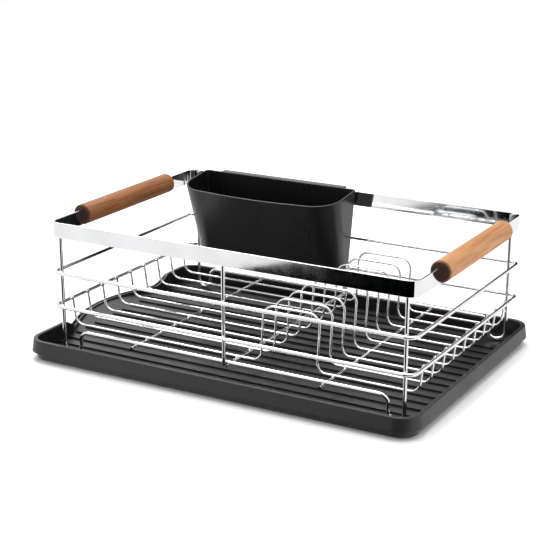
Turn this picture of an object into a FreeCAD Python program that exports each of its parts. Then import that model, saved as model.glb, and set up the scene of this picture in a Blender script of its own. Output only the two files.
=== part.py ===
import FreeCAD, Part
import math
import os

import Sketcher
from FreeCAD import Placement, Rotation, Vector

# Dish drying rack: a chromed wire basket with a flat rim band and two dowel handles stands in a
# moulded drip tray, and a cutlery caddy hangs inside the band.  Millimetres, +Z up, +X along the
# length, +Y to the back.  The origin is on the surface it stands on, under the middle of its box.

os.makedirs("parts", exist_ok=True)
doc = FreeCAD.newDocument("DishDryingRack")

# ---------------------------------------------------------------- driving dimensions

DIMENSIONS = [
    # drip tray
    ("tray_length", 450.0, "rim without the lip"),
    ("tray_width", 318.0, "rim, front to back"),
    ("tray_corner", 21.0, "rim corner radius in plan"),
    ("tray_rim_top", 23.0, "rim top above the table"),
    ("tray_skirt_bottom", 9.5, "skirt edge above the table"),
    ("tray_floor_top", 4.5, "floor that the rack stands on"),
    ("tray_floor_bottom", 2.0, "underside of the floor"),
    ("tray_wall", 1.6, "moulded wall"),
    ("tray_rim_width", 4.6, "skirt, gap and inner wall together"),
    ("tray_flare", 2.0, "how far the skirt spreads"),
    ("lip_apex", 37.0, "corner of the lip's outline beyond the rim"),
    ("lip_half_width", 91.0, "half of the lip's opening"),
    ("lip_middle_y", 7.0, "middle of the lip"),
    ("lip_radius", 150.0, "front of the lip"),
    ("lip_root_radius", 25.0, "where the lip leaves the rim"),
    ("lip_top", 12.0, "edge that the water runs over"),
    ("lip_dip", 9.0, "half of the rim's slope down to the lip"),
    ("rib_pitch", 17.75, "floor ribs"),
    ("rib_width", 9.0, "floor ribs"),
    ("rib_rise", 1.8, "rib above the floor"),
    ("rib_well", 172.0, "ribs stop here beside a corner well"),
    ("pad_diameter", 15.0, "rubber pad under the tray"),
    ("pad_x", 180.0, "pad centres"),
    ("pad_y", 120.0, "pad centres"),
    # wire basket
    ("rack_in_tray", 218.5, "rack centre to the right rim"),
    ("wire", 4.0, "frame and ring wire diameter"),
    ("cross_wire", 3.0, "cross wire diameter"),
    ("plate_wire", 2.5, "plate wire diameter"),
    ("weld_gap", 0.02, "between wires that are welded where they touch"),
    ("seat_gap", 0.2, "under the rack's feet"),
    ("foot_depth", 24.0, "rail centre to foot centre"),
    ("foot_width", 18.5, "between the legs of a foot, along the rack"),
    ("foot_bend", 9.0, "foot bends"),
    ("rail_bend", 9.5, "leg into rail"),
    ("post_x", 198.5, "corner posts from the rack's centre"),
    ("hoop_y", 133.48, "corner posts and the posts of the centre hoop"),
    ("ring_x", 208.5, "ring centre line, half length"),
    ("ring_y", 137.5, "ring centre line, half width"),
    ("ring_corner", 10.0, "ring centre line"),
    ("lower_ring_rise", 27.2, "above the rail"),
    ("upper_ring_rise", 64.2, "above the rail"),
    ("cross_x", 110.0, "cross wires from the rack's centre"),
    ("cross_half_length", 137.0, "cross wire"),
    # rim band and handles
    ("band_bottom_rise", 103.0, "above the rail"),
    ("band_height", 16.5, "flat strip"),
    ("band_thickness", 2.0, "flat strip"),
    ("band_x", 209.5, "outer face, half length"),
    ("band_y", 137.5, "outer face, half width"),
    ("band_corner", 9.0, "inner face"),
    ("band_seam_x", 125.0, "butt seam in the back of the band"),
    ("band_seam", 0.3, "seam width"),
    ("handle_diameter", 22.0, "dowel"),
    ("handle_length", 165.0, "dowel"),
    ("handle_chamfer", 1.5, "dowel ends"),
    ("handle_fit", 0.05, "slot clearance beside the band"),
    # plate wires
    ("plate_pitch", 27.0, "front to back"),
    ("rise_lean", 7.0, "degrees, the ends of a plate wire lean outwards"),
    ("rise_bend", 11.0, "base into rise"),
    ("hump_left", 28.0, "left leg of the plate divider"),
    ("hump_width", 64.0, "between its legs"),
    ("hump_height", 58.0, "above the base"),
    ("hump_root_bend", 9.5, "base into leg"),
    ("hump_top_bend", 12.0, "top corners"),
    ("hump_tilt", 6.0, "degrees towards the back"),
    # cutlery caddy
    ("caddy_x", -84.5, "middle of the caddy from the rack's centre"),
    ("caddy_back", 131.2, "outer face of its back wall"),
    ("caddy_half_width", 99.5, "at the rim"),
    ("caddy_depth", 65.0, "at the rim, at the sides"),
    ("caddy_bulge", 4.5, "the front bows out"),
    ("front_sweep", 500.0, "radius of the bowed front"),
    ("caddy_corner", 32.0, "front corners"),
    ("caddy_back_corner", 5.0, "back corners"),
    ("caddy_top_rise", 123.2, "back of the rim above the rail"),
    ("caddy_height", 88.0, "outside, square to the rim"),
    ("caddy_side_draft", 7.2, "each side draws in by this much at the bottom"),
    ("caddy_front_draft", 11.0, "the front draws in by this much"),
    ("caddy_tilt", 7.0, "degrees, the rim slopes down to the front"),
    ("caddy_wall", 2.0, "moulded wall"),
    ("hook_half_width", 80.0, "hook over the band"),
    ("hook_x", -83.0, "middle of the hook from the rack's centre"),
    ("hook_thickness", 2.4, "hook walls"),
    ("hook_drop", 15.0, "outer leg of the hook"),
    ("hook_gap", 0.4, "hook to band"),
    ("slot_length", 18.0, "drain slot"),
    ("slot_width", 4.0, "drain slot"),
    ("slot_pitch", 28.0, "drain slots"),
]

sheet = doc.addObject("Spreadsheet::Sheet", "Sizes")
for row, (alias, size, note) in enumerate(DIMENSIONS, start=1):
    sheet.set("A%d" % row, alias)
    sheet.set("B%d" % row, str(size))
    sheet.setAlias("B%d" % row, alias)
    sheet.set("C%d" % row, note)
doc.recompute()


def named(expression):
    """Write an expression's plain names as cells of the sheet."""
    words = []
    word = ""
    for letter in expression + " ":
        if letter.isalnum() or letter in "_.":
            word += letter
            continue
        words.append("Sizes." + word if word in ALIASES else word)
        words.append(letter)
        word = ""
    return "".join(words).strip()


ALIASES = {alias for alias, size, note in DIMENSIONS}
scratch = doc.addObject("App::FeaturePython", "Reader")


def value(expression):
    """The number that an expression gives now."""
    number = scratch.evalExpression(named(expression))
    return float(getattr(number, "Value", number))


# Places that several pieces share, written with the sheet's names.
LIP_SLANT = "atan(lip_apex / lip_half_width)"
LIP_REACH = "(lip_apex - lip_radius * (1 / cos(%s) - 1))" % LIP_SLANT
RIM_RIGHT = "((tray_length + %s) / 2)" % LIP_REACH
RIM_LEFT = "(%s - tray_length)" % RIM_RIGHT
RACK_X = "(%s - rack_in_tray)" % RIM_RIGHT
RAIL_Z = "(tray_floor_top + seat_gap + wire / 2 + foot_depth)"
FRAME_Y = "(hoop_y - wire - weld_gap)"
BASE_DROP = "((wire - plate_wire) / 2)"
UNDER = "(wire / 2 + weld_gap)"
POST_TOP = "(band_bottom_rise + band_height - 2)"
FOOT_SWING = "atan((hoop_y - %s) / foot_width)" % FRAME_Y
CADDY_BACK_DRAFT = "(caddy_height * tan(caddy_tilt))"
PLATES_EACH_SIDE = 4
RIBS_EACH_SIDE = 6

# ---------------------------------------------------------------- drawing helpers


def new_body(label, x="0", y="0", z="0"):
    """A body whose own origin is placed by three expressions."""
    body = doc.addObject("PartDesign::Body", label)
    body.Label = label
    for axis, expression in zip("xyz", (x, y, z)):
        body.setExpression("Placement.Base." + axis, named(expression))
    return body


def new_sketch(body, name, role, offset="0", turn="0"):
    """A sketch on one of the body's own origin planes.

    The sketch is turned about the plane's first axis and moved along its own normal."""
    sketch = body.newObject("Sketcher::SketchObject", body.Label + "_" + name)
    plane = next(item for item in body.Origin.OriginFeatures if item.Role == role)
    sketch.AttachmentSupport = [(plane, "")]
    sketch.MapMode = "FlatFace"
    back, up = "(-(%s) * sin(%s))" % (offset, turn), "((%s) * cos(%s))" % (offset, turn)
    spin = Rotation(Vector(1, 0, 0), value(turn))
    sketch.AttachmentOffset = Placement(Vector(0, value(back), value(up)), spin)
    sketch.setExpression("AttachmentOffset.Rotation.Angle", named(turn))
    sketch.setExpression("AttachmentOffset.Base.y", named(back))
    sketch.setExpression("AttachmentOffset.Base.z", named(up))
    return sketch


def swing_sketch(sketch, pivot, angle):
    """Stand a sketch at pivot along its plane's first axis, and turn it about its second."""
    spin = Rotation(Vector(0, 1, 0), value(angle))
    sketch.setExpression("AttachmentOffset.Base.y", None)
    sketch.setExpression("AttachmentOffset.Base.z", None)
    sketch.AttachmentOffset = Placement(Vector(value(pivot), 0, 0), spin)
    sketch.setExpression("AttachmentOffset.Rotation.Angle", named(angle))
    sketch.setExpression("AttachmentOffset.Base.x", named(pivot))


def bind(sketch, *constraint, size):
    """Add a constraint whose value follows an expression."""
    index = sketch.addConstraint(Sketcher.Constraint(*constraint, value(size)))
    sketch.setExpression("Constraints[%d]" % index, named(size))


def pin_point(sketch, geometry, end, corner):
    bind(sketch, "DistanceX", geometry, end, size=corner[0])
    bind(sketch, "DistanceY", geometry, end, size=corner[1])


def draw_path(sketch, corners, bends, closed=False):
    """Straight runs through the corners, joined by tangent arcs.

    corners holds (x, y) expressions.  bends holds a radius expression for each corner that turns,
    or None for a sharp one.  An open path has one bend fewer at each end."""
    spots = [Vector(value(x), value(y), 0) for x, y in corners]
    count = len(corners)
    turning = range(count) if closed else range(1, count - 1)
    radii = dict(zip(turning, bends))
    entry = {}
    leave = {}
    arcs = {}
    for index in turning:
        spot = spots[index]
        inward = (spot - spots[index - 1]).normalize()
        outward = (spots[(index + 1) % count] - spot).normalize()
        entry[index] = leave[index] = spot
        if radii[index] is None:
            continue
        radius = value(radii[index])
        turn = inward.getAngle(outward)
        left = inward.cross(outward).z > 0
        entry[index] = spot - inward * radius * math.tan(turn / 2)
        leave[index] = spot + outward * radius * math.tan(turn / 2)
        side = Vector(-inward.y, inward.x, 0) if left else Vector(inward.y, -inward.x, 0)
        centre = entry[index] + side * radius
        first, last = (entry[index], leave[index]) if left else (leave[index], entry[index])
        start_angle = math.atan2(first.y - centre.y, first.x - centre.x)
        end_angle = math.atan2(last.y - centre.y, last.x - centre.x)
        circle = Part.Circle(centre, Vector(0, 0, 1), radius)
        arcs[index] = (Part.ArcOfCircle(circle, start_angle, end_angle), left)
    runs = {}
    bent = {}
    for index in range(count if closed else count - 1):
        following = (index + 1) % count
        line = Part.LineSegment(leave.get(index, spots[index]), entry.get(following, spots[following]))
        runs[index] = sketch.addGeometry(line, False)
        if following in arcs:
            bent[following] = sketch.addGeometry(arcs[following][0], False)
    for index in turning:
        before = runs[(index - 1) % count]
        after = runs[index]
        if index not in arcs:
            sketch.addConstraint(Sketcher.Constraint("Coincident", before, 2, after, 1))
            pin_point(sketch, after, 1, corners[index])
            continue
        arc = bent[index]
        begin, end = (1, 2) if arcs[index][1] else (2, 1)
        sketch.addConstraint(Sketcher.Constraint("Tangent", before, 2, arc, begin))
        sketch.addConstraint(Sketcher.Constraint("Tangent", arc, end, after, 1))
        bind(sketch, "Radius", arc, size=radii[index])
        corner = sketch.addGeometry(Part.Point(spots[index]), True)
        sketch.addConstraint(Sketcher.Constraint("PointOnObject", corner, 1, before))
        sketch.addConstraint(Sketcher.Constraint("PointOnObject", corner, 1, after))
        pin_point(sketch, corner, 1, corners[index])
    if not closed:
        pin_point(sketch, runs[0], 1, corners[0])
        pin_point(sketch, runs[count - 2], 2, corners[-1])


def rectangle_corners(half_x, half_y):
    return [("-" + half_x, "-" + half_y), (half_x, "-" + half_y), (half_x, half_y), ("-" + half_x, half_y)]


def draw_circle(sketch, x, y, diameter):
    circle = sketch.addGeometry(Part.Circle(Vector(value(x), value(y), 0), Vector(0, 0, 1), value(diameter) / 2))
    pin_point(sketch, circle, 3, (x, y))
    bind(sketch, "Diameter", circle, size=diameter)


def run_wire(body, name, path, profile):
    """Sweep a round section along a path."""
    pipe = body.newObject("PartDesign::AdditivePipe", body.Label + "_" + name)
    pipe.Profile = profile
    pipe.Spine = path
    body.Tip = pipe
    return pipe


def raise_pad(body, name, sketch, length, down=False, midplane=False):
    pad = body.newObject("PartDesign::Pad", body.Label + "_" + name)
    pad.Profile = sketch
    pad.Reversed = down
    pad.Midplane = midplane
    pad.Length = value(length)
    pad.setExpression("Length", named(length))
    body.Tip = pad
    return pad


def cut_pocket(body, name, sketch, length, up=False, midplane=False):
    """Cut along the sketch's normal when up, and against it otherwise."""
    doc.recompute()
    before = body.Tip.Shape.Volume
    pocket = body.newObject("PartDesign::Pocket", body.Label + "_" + name)
    pocket.Profile = sketch
    pocket.Reversed = up
    pocket.Midplane = midplane
    pocket.Length = value(length)
    pocket.setExpression("Length", named(length))
    body.Tip = pocket
    doc.recompute()
    if not body.Shape.Volume < before:
        raise RuntimeError(pocket.Name + " cuts nothing")
    return pocket


def loft(body, name, kind, first, second):
    feature = body.newObject("PartDesign::" + kind, body.Label + "_" + name)
    feature.Profile = first
    feature.Sections = [second]
    feature.Ruled = True
    body.Tip = feature
    return feature


def dress_edges(body, name, kind, size, chosen):
    """Round or chamfer every edge of the body for which chosen(edge) is true."""
    doc.recompute()
    base = body.Tip
    edges = ["Edge%d" % i for i, edge in enumerate(base.Shape.Edges, start=1) if chosen(edge)]
    feature = body.newObject("PartDesign::" + kind, body.Label + "_" + name)
    feature.Base = (base, edges)
    measure = {"Fillet": "Radius", "Chamfer": "Size"}[kind]
    setattr(feature, measure, value(size))
    feature.setExpression(measure, named(size))
    body.Tip = feature
    return feature


def lies_at_height(edge, height):
    box = edge.BoundBox
    return abs(box.ZMin - height) < 1e-4 and abs(box.ZMax - height) < 1e-4


# ---------------------------------------------------------------- wire basket


def make_ring(label, rise):
    """One closed ring of wire round the outside of the posts."""
    body = new_body(label, RACK_X, "0", RAIL_Z + " + " + rise)
    path = new_sketch(body, "path", "XY_Plane")
    draw_path(path, rectangle_corners("ring_x", "ring_y"), ["ring_corner"] * 4, closed=True)
    section = new_sketch(body, "section", "YZ_Plane", "-(ring_x - ring_corner)")
    draw_circle(section, "-ring_y", "0", "wire")
    run_wire(body, "wire", path, section)
    return body


def make_frame_wire(label, side):
    """One wire makes a long side: two corner posts, two feet and the rail between them.

    The posts stand outside the rail, so each foot turns outwards a little in plan."""
    body = new_body(label, RACK_X, side + FRAME_Y, RAIL_Z)
    inner = "(post_x - foot_width)"
    joint = "(-(rail_bend + foot_depth - foot_bend) / 2)"
    path = new_sketch(body, "rail_path", "XZ_Plane")
    corners = [(inner, joint), (inner, "0"), ("-" + inner, "0"), ("-" + inner, joint)]
    draw_path(path, corners, ["rail_bend"] * 2)
    section = new_sketch(body, "rail_section", "XY_Plane", joint)
    draw_circle(section, inner, "0", "wire")
    run_wire(body, "rail", path, section)
    for end, sign in (("right", ""), ("left", "-")):
        clockwise = (side == "-") == (end == "right")
        reach = sign + "(foot_width / cos(%s))" % FOOT_SWING
        path = new_sketch(body, end + "_foot_path", "XZ_Plane")
        swing_sketch(path, sign + inner, ("-" if clockwise else "") + FOOT_SWING)
        corners = [("0", joint), ("0", "-foot_depth"), (reach, "-foot_depth"), (reach, POST_TOP)]
        draw_path(path, corners, ["foot_bend"] * 2)
        section = new_sketch(body, end + "_foot_section", "XY_Plane", joint)
        draw_circle(section, sign + inner, "0", "wire")
        run_wire(body, end + "_foot", path, section)
    return body


def make_centre_hoop():
    """The hoop comes down inside the rings, wraps under both rails and carries every plate wire."""
    body = new_body("centre_hoop", RACK_X, "0", RAIL_Z)
    level = "-(wire + weld_gap)"
    corners = [("hoop_y", POST_TOP), ("hoop_y", level), ("-hoop_y", level), ("-hoop_y", POST_TOP)]
    path = new_sketch(body, "path", "YZ_Plane")
    draw_path(path, corners, ["(wire + weld_gap)"] * 2)
    section = new_sketch(body, "section", "XY_Plane", POST_TOP)
    draw_circle(section, "0", "hoop_y", "wire")
    run_wire(body, "wire", path, section)
    return body


def make_cross_wire(label, side):
    """A straight wire under the rails and the plate wires."""
    body = new_body(label, RACK_X + side + "cross_x", "0", "%s - %s - cross_wire / 2" % (RAIL_Z, UNDER))
    section = new_sketch(body, "section", "XZ_Plane")
    draw_circle(section, "0", "0", "cross_wire")
    raise_pad(body, "wire", section, "2 * cross_half_length", midplane=True)
    return body


def make_plate_wire(number, place):
    """A wire that rises to the lower ring at both ends and has one hump that holds a plate."""
    label = "plate_wire_%d" % number
    body = new_body(label, RACK_X, "%d * plate_pitch" % place, "%s - %s" % (RAIL_Z, BASE_DROP))
    ring_level = "(lower_ring_rise + %s)" % BASE_DROP
    touch = "(ring_x - wire / 2 - weld_gap - plate_wire / 2 / cos(rise_lean))"
    foot = "(%s - %s * tan(rise_lean))" % (touch, ring_level)
    tip = "(%s + wire / 2 * tan(rise_lean))" % touch
    tip_level = "(%s + wire / 2)" % ring_level
    starts = {
        "left": "(hump_left - 2 * hump_root_bend)",
        "right": "(hump_left + hump_width + 2 * hump_root_bend)",
    }
    ends = {"left": "-", "right": ""}
    sections = {}
    for side, start in starts.items():
        path = new_sketch(body, side + "_path", "XZ_Plane")
        corners = [(start, "0"), (ends[side] + foot, "0"), (ends[side] + tip, tip_level)]
        draw_path(path, corners, ["rise_bend"])
        sections[side] = new_sketch(body, side + "_section", "YZ_Plane", start)
        draw_circle(sections[side], "0", "0", "plate_wire")
        run_wire(body, side + "_wire", path, sections[side])
    hump_right = "(hump_left + hump_width)"
    corners = [(starts["left"], "0"), ("hump_left", "0"), ("hump_left", "hump_height"),
               (hump_right, "hump_height"), (hump_right, "0"), (starts["right"], "0")]
    path = new_sketch(body, "hump_path", "XZ_Plane", turn="-hump_tilt")
    root, top = "hump_root_bend", "hump_top_bend"
    draw_path(path, corners, [root, top, top, root])
    section = new_sketch(body, "hump_section", "YZ_Plane", starts["left"])
    draw_circle(section, "0", "0", "plate_wire")
    run_wire(body, "hump_wire", path, section)
    return body


# ---------------------------------------------------------------- rim band and handles


def make_rim_band():
    """A flat strip bent into a rounded rectangle, its ends butted at the back."""
    body = new_body("rim_band", RACK_X, "0", "%s + band_bottom_rise" % RAIL_Z)
    outline = new_sketch(body, "outline", "XY_Plane")
    outer_corner = "(band_corner + band_thickness)"
    draw_path(outline, rectangle_corners("band_x", "band_y"), [outer_corner] * 4, closed=True)
    inner = rectangle_corners("(band_x - band_thickness)", "(band_y - band_thickness)")
    draw_path(outline, inner, ["band_corner"] * 4, closed=True)
    raise_pad(body, "strip", outline, "band_height")
    levels = (0, value("band_height"))
    dress_edges(body, "soft_edges", "Fillet", "band_thickness / 4",
                lambda edge: any(lies_at_height(edge, level) for level in levels))
    seam = new_sketch(body, "seam_outline", "XY_Plane")
    near = "(band_y - 2 * band_thickness)"
    far = "(band_y + band_thickness)"
    left, right = "(band_seam_x - band_seam / 2)", "(band_seam_x + band_seam / 2)"
    draw_path(seam, [(left, near), (right, near), (right, far), (left, far)], [None] * 4, closed=True)
    cut_pocket(body, "seam", seam, "band_height", up=True)
    return body


def make_handle(label, side):
    """A dowel with a slot sawn up from below, which drops over the band and is glued there."""
    middle = "(band_x - band_thickness / 2)"
    body = new_body(label, RACK_X + side + middle, "0",
                    "%s + band_bottom_rise + handle_diameter / 2" % RAIL_Z)
    end = new_sketch(body, "end", "XZ_Plane")
    draw_circle(end, "0", "0", "handle_diameter")
    raise_pad(body, "dowel", end, "handle_length", midplane=True)
    dress_edges(body, "ends", "Chamfer", "handle_chamfer",
                lambda edge: isinstance(edge.Curve, Part.Circle))
    slot = new_sketch(body, "slot_outline", "XZ_Plane")
    half = "(band_thickness / 2 + handle_fit)"
    bottom, top = "-handle_diameter", "(band_height - handle_diameter / 2 + handle_fit)"
    draw_path(slot, [("-" + half, bottom), (half, bottom), (half, top), ("-" + half, top)],
              [None] * 4, closed=True)
    cut_pocket(body, "slot", slot, "2 * handle_length", midplane=True)
    return body


# ---------------------------------------------------------------- drip tray


def tray_outline(sketch, inset):
    """The tray seen from above, with its pouring lip on the left, moved inwards by inset."""
    left = "(%s + %s)" % (RIM_LEFT, inset)
    right = "(%s - %s)" % (RIM_RIGHT, inset)
    side = "(tray_width / 2 - %s)" % inset
    root = "(lip_half_width - %s * tan(%s / 2))" % (inset, LIP_SLANT)
    apex = "(%s - lip_apex + %s / cos(%s))" % (RIM_LEFT, inset, LIP_SLANT)
    corner = "(tray_corner - %s)" % inset
    corners = [("0", "-" + side), (right, "-" + side), (right, side), (left, side),
               (left, "(lip_middle_y + %s)" % root), (apex, "lip_middle_y"),
               (left, "(lip_middle_y - %s)" % root), (left, "-" + side)]
    lip_root = "(lip_root_radius + %s)" % inset
    bends = [None, corner, corner, corner, lip_root, "(lip_radius - %s)" % inset, lip_root, corner]
    draw_path(sketch, corners, bends, closed=True)


def make_drip_tray():
    body = new_body("drip_tray")
    skirt_levels = ("tray_skirt_bottom", "tray_rim_top")
    sections = []
    for name, level, inset in zip(("skirt_edge", "rim_edge"), skirt_levels, ("(-tray_flare)", "0")):
        sections.append(new_sketch(body, name, "XY_Plane", level))
        tray_outline(sections[-1], inset)
    loft(body, "skirt", "AdditiveLoft", *sections)
    hollow_levels = ("tray_skirt_bottom", "tray_rim_top - tray_wall")
    insets = ("(tray_wall - tray_flare)", "tray_wall")
    sections = []
    for name, level, inset in zip(("hollow_bottom", "hollow_top"), hollow_levels, insets):
        sections.append(new_sketch(body, name, "XY_Plane", level))
        tray_outline(sections[-1], inset)
    loft(body, "skirt_hollow", "SubtractiveLoft", *sections)
    tub = new_sketch(body, "tub_outline", "XY_Plane", "tray_floor_bottom")
    tray_outline(tub, "(tray_rim_width - tray_wall)")
    raise_pad(body, "tub", tub, "tray_rim_top - tray_floor_bottom")
    inside = new_sketch(body, "inside_outline", "XY_Plane", "tray_rim_top")
    tray_outline(inside, "tray_rim_width")
    cut_pocket(body, "inside", inside, "tray_rim_top - tray_floor_top")
    dress_edges(body, "soft_rim", "Fillet", "tray_wall * 0.7",
                lambda edge: lies_at_height(edge, value("tray_rim_top")))
    cut_lip(body)
    add_ramp(body)
    add_ribs(body)
    return body


def cut_lip(body):
    """The rim dips in one smooth sweep to the level that the water runs over."""
    view = new_sketch(body, "lip_outline", "YZ_Plane", "%s - tray_length / 4" % RIM_RIGHT)
    low, high = "lip_top", "(tray_rim_top + tray_wall)"
    foot, shoulder = "(lip_half_width - lip_dip)", "(lip_half_width + lip_dip)"
    far = "(lip_half_width + 3 * lip_dip)"
    right = [("(lip_middle_y + %s)" % y, z) for y, z in
             ((foot, low), (shoulder, "tray_rim_top"), (far, "tray_rim_top"), (far, high))]
    left = [(y.replace("lip_middle_y +", "lip_middle_y -"), z) for y, z in reversed(right)]
    sweep = "lip_dip"
    draw_path(view, right + left, [sweep, sweep, None, None, None, None, sweep, sweep], closed=True)
    cut_pocket(body, "lip", view, "tray_length")


def add_ramp(body):
    """The floor climbs to the lip, and is trimmed to the lip's outline."""
    start = "(%s + tray_rim_width)" % RIM_LEFT
    end = "(%s - lip_apex)" % RIM_LEFT
    climb = "(lip_top - tray_floor_top)"
    side = new_sketch(body, "ramp_side", "XZ_Plane", "-lip_middle_y")
    corners = [(start, "tray_floor_bottom"), (start, "tray_floor_top"),
               (end, "(tray_floor_top + %s * 1.3)" % climb),
               (end, "(tray_floor_bottom + %s * 1.3)" % climb)]
    draw_path(side, corners, [None] * 4, closed=True)
    raise_pad(body, "ramp", side, "2 * (lip_half_width + lip_dip / 2)", midplane=True)
    trim = new_sketch(body, "trim_outline", "XY_Plane")
    tray_outline(trim, "(-tray_flare)")
    room = "tray_length"
    draw_path(trim, rectangle_corners(room, room), [None] * 4, closed=True)
    cut_pocket(body, "trim", trim, "2 * tray_rim_top", up=True)


def add_ribs(body):
    """Raised ribs run along the floor; the outer ones stop short of the corner wells."""
    left = "(%s + tray_rim_width / 2)" % RIM_LEFT
    right = "(%s - tray_rim_width + tray_wall / 2)" % RIM_RIGHT
    centre = RACK_X
    full = [(left, right, place) for place in range(-RIBS_EACH_SIDE, RIBS_EACH_SIDE + 1)]
    short = [("(%s - rib_well)" % centre, "(%s + rib_well)" % centre, side * place)
             for side in (-1, 1) for place in (RIBS_EACH_SIDE + 1, RIBS_EACH_SIDE + 2)]
    outline = new_sketch(body, "rib_outline", "XY_Plane", "tray_floor_top")
    for start, end, place in full + short:
        low = "(%d * rib_pitch - rib_width / 2)" % place
        high = "(%d * rib_pitch + rib_width / 2)" % place
        draw_path(outline, [(start, low), (end, low), (end, high), (start, high)], [None] * 4,
                  closed=True)
    raise_pad(body, "ribs", outline, "rib_rise")


def make_tray_pads():
    """Four rubber pads under the floor."""
    body = new_body("tray_pads")
    body.AllowCompound = True
    outline = new_sketch(body, "outline", "XY_Plane")
    for x in ("-pad_x", "pad_x"):
        for y in ("-pad_y", "pad_y"):
            draw_circle(outline, x, y, "pad_diameter")
    raise_pad(body, "pads", outline, "tray_floor_bottom")
    return body


# ---------------------------------------------------------------- cutlery caddy


def caddy_outline(sketch, side_draft, back_draft, front_draft, inset):
    """The caddy seen square to its rim: flat back, rounded front corners, a front that bows out."""
    half = "(caddy_half_width - %s - %s)" % (side_draft, inset)
    back = "(-%s - %s)" % (back_draft, inset)
    front = "(%s + %s - caddy_depth)" % (front_draft, inset)
    middle = "(%s - 2 * caddy_bulge)" % front
    corners = [("0", middle), (half, front), (half, back), ("-" + half, back), ("-" + half, front)]
    corner = "(caddy_corner - %s)" % inset
    back_corner = "(caddy_back_corner - %s)" % inset
    draw_path(sketch, corners, ["front_sweep", corner, back_corner, back_corner, corner], closed=True)


def make_cutlery_caddy():
    """A drafted tub with a wide hook along the top of its back wall and drain slots in its floor.

    The rim slopes down to the front and the back wall hangs upright."""
    body = new_body("cutlery_caddy", "%s + caddy_x" % RACK_X, "caddy_back",
                    "%s + caddy_top_rise" % RAIL_Z)
    drafts = ("caddy_side_draft", CADDY_BACK_DRAFT, "caddy_front_draft")
    walls = (("outer", "AdditiveLoft", "-caddy_height", "0"),
             ("inner", "SubtractiveLoft", "(caddy_wall - caddy_height)", "caddy_wall"))
    for name, kind, bottom, inset in walls:
        foot = new_sketch(body, name + "_bottom", "XY_Plane", bottom, turn="caddy_tilt")
        rim = new_sketch(body, name + "_rim", "XY_Plane", turn="caddy_tilt")
        caddy_outline(foot, *drafts, inset)
        caddy_outline(rim, "0", "0", "0", inset)
        loft(body, name + "_wall", kind, foot, rim)
    slope = math.tan(math.radians(value("caddy_tilt")))
    dress_edges(body, "soft_rim", "Fillet", "caddy_wall * 0.3",
                lambda edge: all(abs(end.Z - end.Y * slope) < 1e-4 for end in edge.Vertexes))
    add_hook(body)
    cut_drain_slots(body)
    return body


def add_hook(body):
    """The hook is a strip over the band, with an outer leg behind it."""
    side = new_sketch(body, "hook_side", "YZ_Plane", "hook_x - caddy_x")
    near = "(-caddy_wall / 2)"
    inner = "(band_y + hook_gap - caddy_back)"
    outer = "(%s + hook_thickness)" % inner
    under = "(band_bottom_rise + band_height + hook_gap - caddy_top_rise)"
    foot = "(-hook_drop)"
    corners = [(near, "0"), (near, under), (inner, under), (inner, foot), (outer, foot), (outer, "0")]
    bends = [None, None, None, None, None, "hook_thickness / 2"]
    draw_path(side, corners, bends, closed=True)
    raise_pad(body, "hook", side, "2 * hook_half_width", midplane=True)


def cut_drain_slots(body):
    """Two rows of slots let the water out."""
    outline = new_sketch(body, "slots_outline", "XY_Plane", "-caddy_height", turn="caddy_tilt")
    half_width = "slot_width / 2"
    room = "(caddy_depth - caddy_front_draft - %s)" % CADDY_BACK_DRAFT
    for row in (1, 2):
        y = "(-%s - %d * %s / 3)" % (CADDY_BACK_DRAFT, row, room)
        for place in range(-2, 3):
            x = "(%d * slot_pitch)" % place
            low, high = "(%s - %s)" % (y, half_width), "(%s + %s)" % (y, half_width)
            left, right = "(%s - slot_length / 2)" % x, "(%s + slot_length / 2)" % x
            draw_path(outline, [(left, low), (right, low), (right, high), (left, high)],
                      ["slot_width * 0.45"] * 4, closed=True)
    cut_pocket(body, "slots", outline, "2 * caddy_wall", up=True)


# ---------------------------------------------------------------- the whole rack


def build():
    """Make every piece in the order that it is put together."""
    pieces = [make_drip_tray(), make_tray_pads()]
    pieces.append(make_frame_wire("front_frame_wire", "-"))
    pieces.append(make_frame_wire("back_frame_wire", ""))
    pieces.append(make_centre_hoop())
    pieces.append(make_cross_wire("left_cross_wire", " - "))
    pieces.append(make_cross_wire("right_cross_wire", " + "))
    pieces.append(make_ring("lower_ring", "lower_ring_rise"))
    pieces.append(make_ring("upper_ring", "upper_ring_rise"))
    for number, place in enumerate(range(-PLATES_EACH_SIDE, PLATES_EACH_SIDE + 1), start=1):
        pieces.append(make_plate_wire(number, place))
    pieces.append(make_rim_band())
    pieces.append(make_handle("left_handle", " - "))
    pieces.append(make_handle("right_handle", " + "))
    pieces.append(make_cutlery_caddy())
    return pieces


pieces = build()
doc.recompute()

for item in doc.Objects:
    if "Invalid" in item.State or "Error" in item.State:
        raise RuntimeError("%s did not build: %s" % (item.Name, item.State))
for piece in pieces:
    if piece.Shape.isNull() or not piece.Shape.isValid():
        raise RuntimeError(piece.Label + " has no valid shape")
for piece in pieces:
    piece.Shape.exportStep("parts/%s.step" % piece.Label)
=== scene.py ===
import math

import bpy
from mathutils import Matrix, Quaternion, Vector


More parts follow.
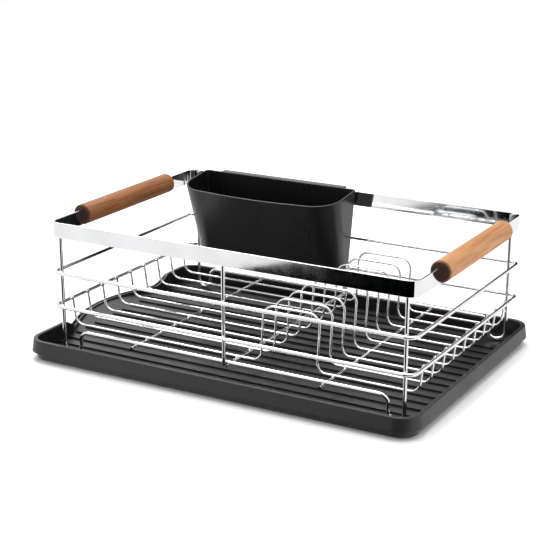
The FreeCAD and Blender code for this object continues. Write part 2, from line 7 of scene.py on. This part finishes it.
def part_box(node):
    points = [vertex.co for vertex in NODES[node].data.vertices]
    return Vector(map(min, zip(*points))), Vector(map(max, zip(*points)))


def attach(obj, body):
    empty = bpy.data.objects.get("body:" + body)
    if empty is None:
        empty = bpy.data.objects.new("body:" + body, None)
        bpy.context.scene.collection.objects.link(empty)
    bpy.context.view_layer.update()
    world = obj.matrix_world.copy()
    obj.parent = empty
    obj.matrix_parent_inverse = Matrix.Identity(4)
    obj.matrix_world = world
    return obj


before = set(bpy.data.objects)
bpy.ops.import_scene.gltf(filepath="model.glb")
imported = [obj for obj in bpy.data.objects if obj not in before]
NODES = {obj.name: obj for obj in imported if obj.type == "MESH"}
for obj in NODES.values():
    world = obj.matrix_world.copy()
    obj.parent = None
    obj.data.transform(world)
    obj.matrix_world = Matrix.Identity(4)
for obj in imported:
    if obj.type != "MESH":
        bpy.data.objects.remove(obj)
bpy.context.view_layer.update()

WIRES = [name for name in NODES if name.endswith(("_wire", "_ring", "_hoop")) or "plate_wire" in name]


# ---------------------------------------------------------------- small helpers


def corner_of(node, low=True):
    return Vector(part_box(node)[0 if low else 1])


def centre_of(node):
    return (corner_of(node) + corner_of(node, low=False)) / 2


def new_material(name):
    """A material with its Principled shader, and the lists of nodes and links."""
    material = bpy.data.materials.new(name)
    material.use_nodes = True
    tree = material.node_tree
    shader = next(node for node in tree.nodes if node.type == "BSDF_PRINCIPLED")
    return material, tree, shader


def add_node(tree, kind, **settings):
    node = tree.nodes.new(kind)
    for key, setting in settings.items():
        setattr(node, key, setting)
    return node


def set_inputs(node, **values):
    for key, amount in values.items():
        node.inputs[key.replace("_", " ")].default_value = amount


def add_ramp(tree, source, stops):
    """A colour ramp from (position, grey or colour) pairs."""
    ramp = add_node(tree, "ShaderNodeValToRGB")
    elements = ramp.color_ramp.elements
    while len(elements) < len(stops):
        elements.new(0.5)
    for element, (position, shade) in zip(elements, stops):
        element.position = position
        element.color = (*shade, 1) if isinstance(shade, tuple) else (shade, shade, shade, 1)
    tree.links.new(source, ramp.inputs["Fac"])
    return ramp.outputs["Color"]


def object_place(tree, scale=(1, 1, 1)):
    """Object coordinates, stretched by scale."""
    place = add_node(tree, "ShaderNodeTexCoord")
    mapping = add_node(tree, "ShaderNodeMapping")
    mapping.inputs["Scale"].default_value = scale
    tree.links.new(place.outputs["Object"], mapping.inputs["Vector"])
    return mapping.outputs["Vector"]


# ---------------------------------------------------------------- shared surface effects


def make_uneven_group():
    """Soft patches that change how glossy a surface is, with fine specks among them."""
    group = bpy.data.node_groups.new("uneven_gloss", "ShaderNodeTree")
    for name, default in (("Patch Scale", 20.0), ("Speck Scale", 900.0), ("Low", 0.1), ("High", 0.3)):
        socket = group.interface.new_socket(name, in_out="INPUT", socket_type="NodeSocketFloat")
        socket.default_value = default
    group.interface.new_socket("Roughness", in_out="OUTPUT", socket_type="NodeSocketFloat")
    inputs = group.nodes.new("NodeGroupInput")
    outputs = group.nodes.new("NodeGroupOutput")
    place = group.nodes.new("ShaderNodeTexCoord")
    patches = add_node(group, "ShaderNodeTexNoise")
    specks = add_node(group, "ShaderNodeTexNoise")
    set_inputs(patches, Detail=4.0, Roughness=0.55)
    set_inputs(specks, Detail=1.0)
    for noise, scale in ((patches, "Patch Scale"), (specks, "Speck Scale")):
        group.links.new(place.outputs["Object"], noise.inputs["Vector"])
        group.links.new(inputs.outputs[scale], noise.inputs["Scale"])
    both = add_node(group, "ShaderNodeMath", operation="MULTIPLY_ADD")
    both.inputs[1].default_value = 0.25
    group.links.new(specks.outputs["Fac"], both.inputs[0])
    group.links.new(patches.outputs["Fac"], both.inputs[2])
    spread = add_node(group, "ShaderNodeMapRange")
    set_inputs(spread, From_Min=0.4, From_Max=0.85)
    group.links.new(both.outputs[0], spread.inputs["Value"])
    group.links.new(inputs.outputs["Low"], spread.inputs["To Min"])
    group.links.new(inputs.outputs["High"], spread.inputs["To Max"])
    group.links.new(spread.outputs["Result"], outputs.inputs["Roughness"])
    return group


def place_group(tree, group, **values):
    node = add_node(tree, "ShaderNodeGroup", node_tree=group)
    set_inputs(node, **values)
    return node


def add_bump(tree, shader, height, strength, distance):
    bump = add_node(tree, "ShaderNodeBump")
    set_inputs(bump, Strength=strength, Distance=distance)
    tree.links.new(height, bump.inputs["Height"])
    tree.links.new(bump.outputs["Normal"], shader.inputs["Normal"])


UNEVEN = make_uneven_group()


# ---------------------------------------------------------------- materials


def chrome_plate(name, tint, low, high, ripple, depth):
    """Bright plate: a mirror with faint ripples and slightly duller patches."""
    material, tree, shader = new_material(name)
    set_inputs(shader, Metallic=1.0)
    gloss = place_group(tree, UNEVEN, Patch_Scale=35.0, Speck_Scale=1500.0, Low=low, High=high)
    tree.links.new(gloss.outputs["Roughness"], shader.inputs["Roughness"])
    wave = add_node(tree, "ShaderNodeTexNoise")
    set_inputs(wave, Scale=ripple, Detail=2.0)
    tree.links.new(object_place(tree), wave.inputs["Vector"])
    dark = tuple(channel * 0.93 for channel in tint)
    tree.links.new(add_ramp(tree, wave.outputs["Fac"], ((0.35, dark), (0.65, tint))),
                   shader.inputs["Base Color"])
    add_bump(tree, shader, wave.outputs["Fac"], depth, 0.0004)
    return material


def moulded_plastic(name, dark, light, low, high, grain_scale, grain_strength):
    """Black injection-moulded plastic with a fine spark-eroded grain and faint flow marks."""
    material, tree, shader = new_material(name)
    set_inputs(shader, Specular_IOR_Level=0.5)
    gloss = place_group(tree, UNEVEN, Patch_Scale=14.0, Speck_Scale=700.0, Low=low, High=high)
    tree.links.new(gloss.outputs["Roughness"], shader.inputs["Roughness"])
    flow = add_node(tree, "ShaderNodeTexNoise")
    set_inputs(flow, Scale=6.0, Detail=5.0, Distortion=0.6)
    tree.links.new(object_place(tree, (1, 1, 3)), flow.inputs["Vector"])
    tree.links.new(add_ramp(tree, flow.outputs["Fac"], ((0.3, dark), (0.7, light))),
                   shader.inputs["Base Color"])
    grain = add_node(tree, "ShaderNodeTexNoise")
    set_inputs(grain, Scale=grain_scale, Detail=3.0, Roughness=0.6)
    tree.links.new(object_place(tree), grain.inputs["Vector"])
    add_bump(tree, shader, grain.outputs["Fac"], grain_strength, 0.0002)
    return material


def oiled_hardwood(name, pale, mid, dark, end_grain):
    """Reddish hardwood turned as a dowel: long grain, pores, a few dark streaks and darker ends."""
    material, tree, shader = new_material(name)
    fibre = add_node(tree, "ShaderNodeTexNoise")
    set_inputs(fibre, Scale=520.0, Detail=6.0, Roughness=0.6, Distortion=0.3)
    tree.links.new(object_place(tree, (1, 0.035, 1)), fibre.inputs["Vector"])
    streak = add_node(tree, "ShaderNodeTexNoise")
    set_inputs(streak, Scale=120.0, Detail=4.0, Distortion=1.0)
    tree.links.new(object_place(tree, (1, 0.1, 1)), streak.inputs["Vector"])
    wood = add_ramp(tree, fibre.outputs["Fac"], ((0.3, dark), (0.47, mid), (0.62, pale)))
    shade = add_ramp(tree, streak.outputs["Fac"], ((0.34, 0.76), (0.56, 1.0)))
    tinted = add_node(tree, "ShaderNodeMix", data_type="RGBA", blend_type="MULTIPLY")
    tinted.inputs["Factor"].default_value = 0.8
    tree.links.new(wood, tinted.inputs["A"])
    tree.links.new(shade, tinted.inputs["B"])
    facing = add_node(tree, "ShaderNodeNewGeometry")
    split = add_node(tree, "ShaderNodeSeparateXYZ")
    tree.links.new(facing.outputs["Normal"], split.inputs["Vector"])
    size = add_node(tree, "ShaderNodeMath", operation="ABSOLUTE")
    tree.links.new(split.outputs["Y"], size.inputs[0])
    end_mask = add_ramp(tree, size.outputs[0], ((0.45, 0.0), (0.8, 1.0)))
    coloured = add_node(tree, "ShaderNodeMix", data_type="RGBA")
    tree.links.new(end_mask, coloured.inputs["Factor"])
    tree.links.new(tinted.outputs["Result"], coloured.inputs["A"])
    coloured.inputs["B"].default_value = (*end_grain, 1)
    tree.links.new(coloured.outputs["Result"], shader.inputs["Base Color"])
    set_inputs(shader, Specular_IOR_Level=0.3)
    gloss = place_group(tree, UNEVEN, Patch_Scale=60.0, Speck_Scale=1200.0, Low=0.42, High=0.6)
    tree.links.new(gloss.outputs["Roughness"], shader.inputs["Roughness"])
    add_bump(tree, shader, fibre.outputs["Fac"], 0.35, 0.0004)
    return material


def soft_rubber(name):
    material, tree, shader = new_material(name)
    speck = add_node(tree, "ShaderNodeTexNoise")
    set_inputs(speck, Scale=600.0, Detail=2.0)
    tree.links.new(object_place(tree), speck.inputs["Vector"])
    tree.links.new(add_ramp(tree, speck.outputs["Fac"], ((0.3, 0.012), (0.7, 0.03))),
                   shader.inputs["Base Color"])
    tree.links.new(add_ramp(tree, speck.outputs["Fac"], ((0.3, 0.6), (0.7, 0.8))),
                   shader.inputs["Roughness"])
    add_bump(tree, shader, speck.outputs["Fac"], 0.3, 0.0002)
    return material


WIRE_CHROME = chrome_plate("wire_chrome", (0.9, 0.91, 0.92), 0.02, 0.07, 70.0, 0.01)
BAND_CHROME = chrome_plate("band_chrome", (0.88, 0.885, 0.895), 0.03, 0.07, 30.0, 0.04)
TRAY_PLASTIC = moulded_plastic("tray_plastic", 0.009, 0.013, 0.3, 0.42, 1600.0, 0.2)
CADDY_PLASTIC = moulded_plastic("caddy_plastic", 0.005, 0.0065, 0.26, 0.31, 1400.0, 0.04)
END_GRAIN = (0.04, 0.014, 0.008)
# One hardwood in two copies: the left handle's copy is darkened as painted shade and the right handle's
# is lightened as painted light, standing in for how the light falls on each handle.
LEFT_WOOD_PAINTED_SHADE = oiled_hardwood("left_wood_painted_shade", (0.31, 0.12, 0.04), (0.25, 0.092, 0.031), (0.15, 0.052, 0.018),
                           END_GRAIN)
RIGHT_WOOD_PAINTED_LIGHT = oiled_hardwood("right_wood_painted_light", (0.55, 0.27, 0.12), (0.47, 0.215, 0.09),
                            (0.32, 0.135, 0.052), END_GRAIN)
PAD_RUBBER = soft_rubber("pad_rubber")


def dress(node, material):
    """Give a CAD node its material."""
    piece = NODES[node]
    piece.data.materials.clear()
    piece.data.materials.append(material)


for node in WIRES:
    dress(node, WIRE_CHROME)
dress("rim_band", BAND_CHROME)
dress("left_handle", LEFT_WOOD_PAINTED_SHADE)
dress("right_handle", RIGHT_WOOD_PAINTED_LIGHT)
dress("drip_tray", TRAY_PLASTIC)
dress("cutlery_caddy", CADDY_PLASTIC)
dress("tray_pads", PAD_RUBBER)


# ---------------------------------------------------------------- welds


WIRE = 0.004
RUNG_RADIUS = 0.00125
FLAT_WELD = (0.0042, 0.0042, 0.0022)
LONG_WELD = (0.0036, 0.0022, 0.0042)
UPRIGHT_WELD = (0.0022, 0.0036, 0.0042)
RISE_INSET = 0.0006
RAIL_REACH = 0.0021


def across(node, axis):
    """The middle of a node's box along one axis."""
    return centre_of(node)[axis]


def post_x(low):
    """Where the corner posts stand."""
    return corner_of("front_frame_wire", low).x + (WIRE / 2 if low else -WIRE / 2)


def weld_places():
    """Every pair of touching wires gives one weld: its place and its size."""
    underside = corner_of("left_cross_wire", low=False).z
    places = []
    for rung in (name for name in WIRES if name.startswith("plate_wire")):
        y = corner_of(rung).y + RUNG_RADIUS
        for under in ("left_cross_wire", "right_cross_wire", "centre_hoop"):
            places.append(((across(under, 0), y, underside), FLAT_WELD))
        for low in (True, False):
            x = corner_of(rung, low).x + (RISE_INSET if low else -RISE_INSET)
            places.append(((x, y, across("lower_ring", 2)), UPRIGHT_WELD))
    for ring in ("lower_ring", "upper_ring"):
        for low in (True, False):
            y = corner_of(ring, low).y + (WIRE if low else -WIRE)
            for x in (across("centre_hoop", 0), post_x(True), post_x(False)):
                places.append(((x, y, across(ring, 2)), LONG_WELD))
    for rail in ("front_frame_wire", "back_frame_wire"):
        at_back = rail.startswith("back")
        y = corner_of(rail, low=at_back).y + (RAIL_REACH if at_back else -RAIL_REACH)
        for under in ("left_cross_wire", "right_cross_wire"):
            places.append(((across(under, 0), y, underside), FLAT_WELD))
    return places


def first_bead(place, size):
    """The small swelling that a resistance weld leaves between two wires."""
    bpy.ops.object.select_all(action="DESELECT")
    bpy.ops.mesh.primitive_uv_sphere_add(segments=12, ring_count=8, radius=0.5)
    bead = bpy.context.object
    bpy.ops.object.mode_set(mode="EDIT")
    bpy.ops.mesh.select_all(action="SELECT")
    bpy.ops.transform.resize(value=size, center_override=(0, 0, 0))
    bpy.ops.transform.translate(value=place)
    bpy.ops.object.mode_set(mode="OBJECT")
    bpy.ops.object.shade_smooth()
    return bead


def copied_bead(bead, change):
    """Another bead with its own mesh: the first one's, resized and moved."""
    copy = bpy.data.objects.new("bead", bead.data.copy())
    bpy.context.scene.collection.objects.link(copy)
    copy.data.transform(change)
    return copy


def make_welds():
    """All the weld beads as one piece of the basket."""
    places = weld_places()
    place, size = places[0]
    welds = first_bead(place, size)
    home = Matrix.Translation(-Vector(place))
    copies = []
    for spot, other in places[1:]:
        resize = Matrix.Diagonal([new / old for new, old in zip(other, size)]).to_4x4()
        copies.append(copied_bead(welds, Matrix.Translation(spot) @ resize @ home))
    bpy.ops.object.select_all(action="DESELECT")
    for bead in [welds] + copies:
        bead.select_set(True)
    bpy.context.view_layer.objects.active = welds
    bpy.ops.object.join()
    welds.name = "weld_beads"
    welds.data.materials.append(WIRE_CHROME)
    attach(welds, "rack")


make_welds()


# ---------------------------------------------------------------- studio


def plain_surface(name, shade, gloss=0.5):
    """A plain matt surface."""
    material, tree, shader = new_material(name)
    set_inputs(shader, Base_Color=(*shade, 1), Roughness=0.9, Specular_IOR_Level=gloss)
    return material


def flat_card(name, centre, aim, width, height, material, slant=0.0):
    """A flat card facing aim, seen only in reflections, and turned in its own plane by slant."""
    bpy.ops.object.select_all(action="DESELECT")
    bpy.ops.mesh.primitive_plane_add(size=1, location=centre)
    card = bpy.context.object
    card.name = name
    card.scale = (width, height, 1)
    facing = (Vector(aim) - Vector(centre)).to_track_quat("Z", "Y")
    card.rotation_euler = (facing @ Quaternion((0, 0, 1), math.radians(slant))).to_euler()
    card.data.materials.append(material)
    card.visible_camera = False
    card.visible_diffuse = False
    card.visible_shadow = False
    card.visible_transmission = False


def make_floor():
    bpy.ops.object.select_all(action="DESELECT")
    bpy.ops.mesh.primitive_plane_add(size=30, location=(0, 0, 0))
    floor = bpy.context.object
    floor.name = "floor"
    floor.data.materials.append(plain_surface("floor_white", (0.95, 0.95, 0.95)))
    floor.visible_glossy = False


def make_light(name, place, aim, width, height, power, colour):
    data = bpy.data.lights.new(name, "AREA")
    data.shape = "RECTANGLE"
    data.size = width
    data.size_y = height
    data.energy = power
    data.color = colour
    lamp = bpy.data.objects.new(name, data)
    bpy.context.scene.collection.objects.link(lamp)
    lamp.location = place
    lamp.rotation_euler = (Vector(aim) - Vector(place)).to_track_quat("-Z", "Y").to_euler()


def make_world(strength):
    world = bpy.data.worlds.new("studio")
    bpy.context.scene.world = world
    world.use_nodes = True
    background = next(node for node in world.node_tree.nodes if node.type == "BACKGROUND")
    background.inputs["Color"].default_value = (1, 1, 1, 1)
    background.inputs["Strength"].default_value = strength


def make_camera():
    """A long lens from the front right, looking down on the rack."""
    heading, dip, roll = (math.radians(angle) for angle in (28.50, 18.31, 0.31))
    data = bpy.data.cameras.new("camera")
    data.sensor_width = 36
    data.lens = 91.26
    data.shift_x = -0.0316
    data.shift_y = 0.0235
    camera = bpy.data.objects.new("camera", data)
    bpy.context.scene.collection.objects.link(camera)
    turn = Matrix.Rotation(heading, 4, "Z") @ Matrix.Rotation(math.pi / 2 - dip, 4, "X")
    stand = Matrix.Translation((0.71769, -1.26612, 0.54472))
    camera.matrix_world = stand @ turn @ Matrix.Rotation(roll, 4, "Z")
    bpy.context.scene.camera = camera


make_camera()
make_floor()
make_world(1.0)
BLACK_CARD = plain_surface("black_card", (0.0, 0.0, 0.0), gloss=0.0)
flat_card("card_by_camera", (2.075, -1.9, 0.2), (2.075, 0, 0.2), 4.85, 2.2, BLACK_CARD)
flat_card("card_low_left", (-0.289, -1.9, -0.72), (-0.289, 0, -0.72), 1.6, 0.8, BLACK_CARD, slant=-15.5)
flat_card("card_behind", (0.13, 0.7, 0.42), (0.13, 0, 0.42), 0.58, 0.62, BLACK_CARD)
make_light("key", (-0.9, 0.6, 1.6), (0, 0, 0), 1.0, 1.0, 24, (1, 1, 1))
make_light("top", (0.2, 0.1, 2.2), (0, 0, 0), 1.8, 1.4, 20, (1, 1, 1))
bpy.context.scene.view_settings.view_transform = "Standard"
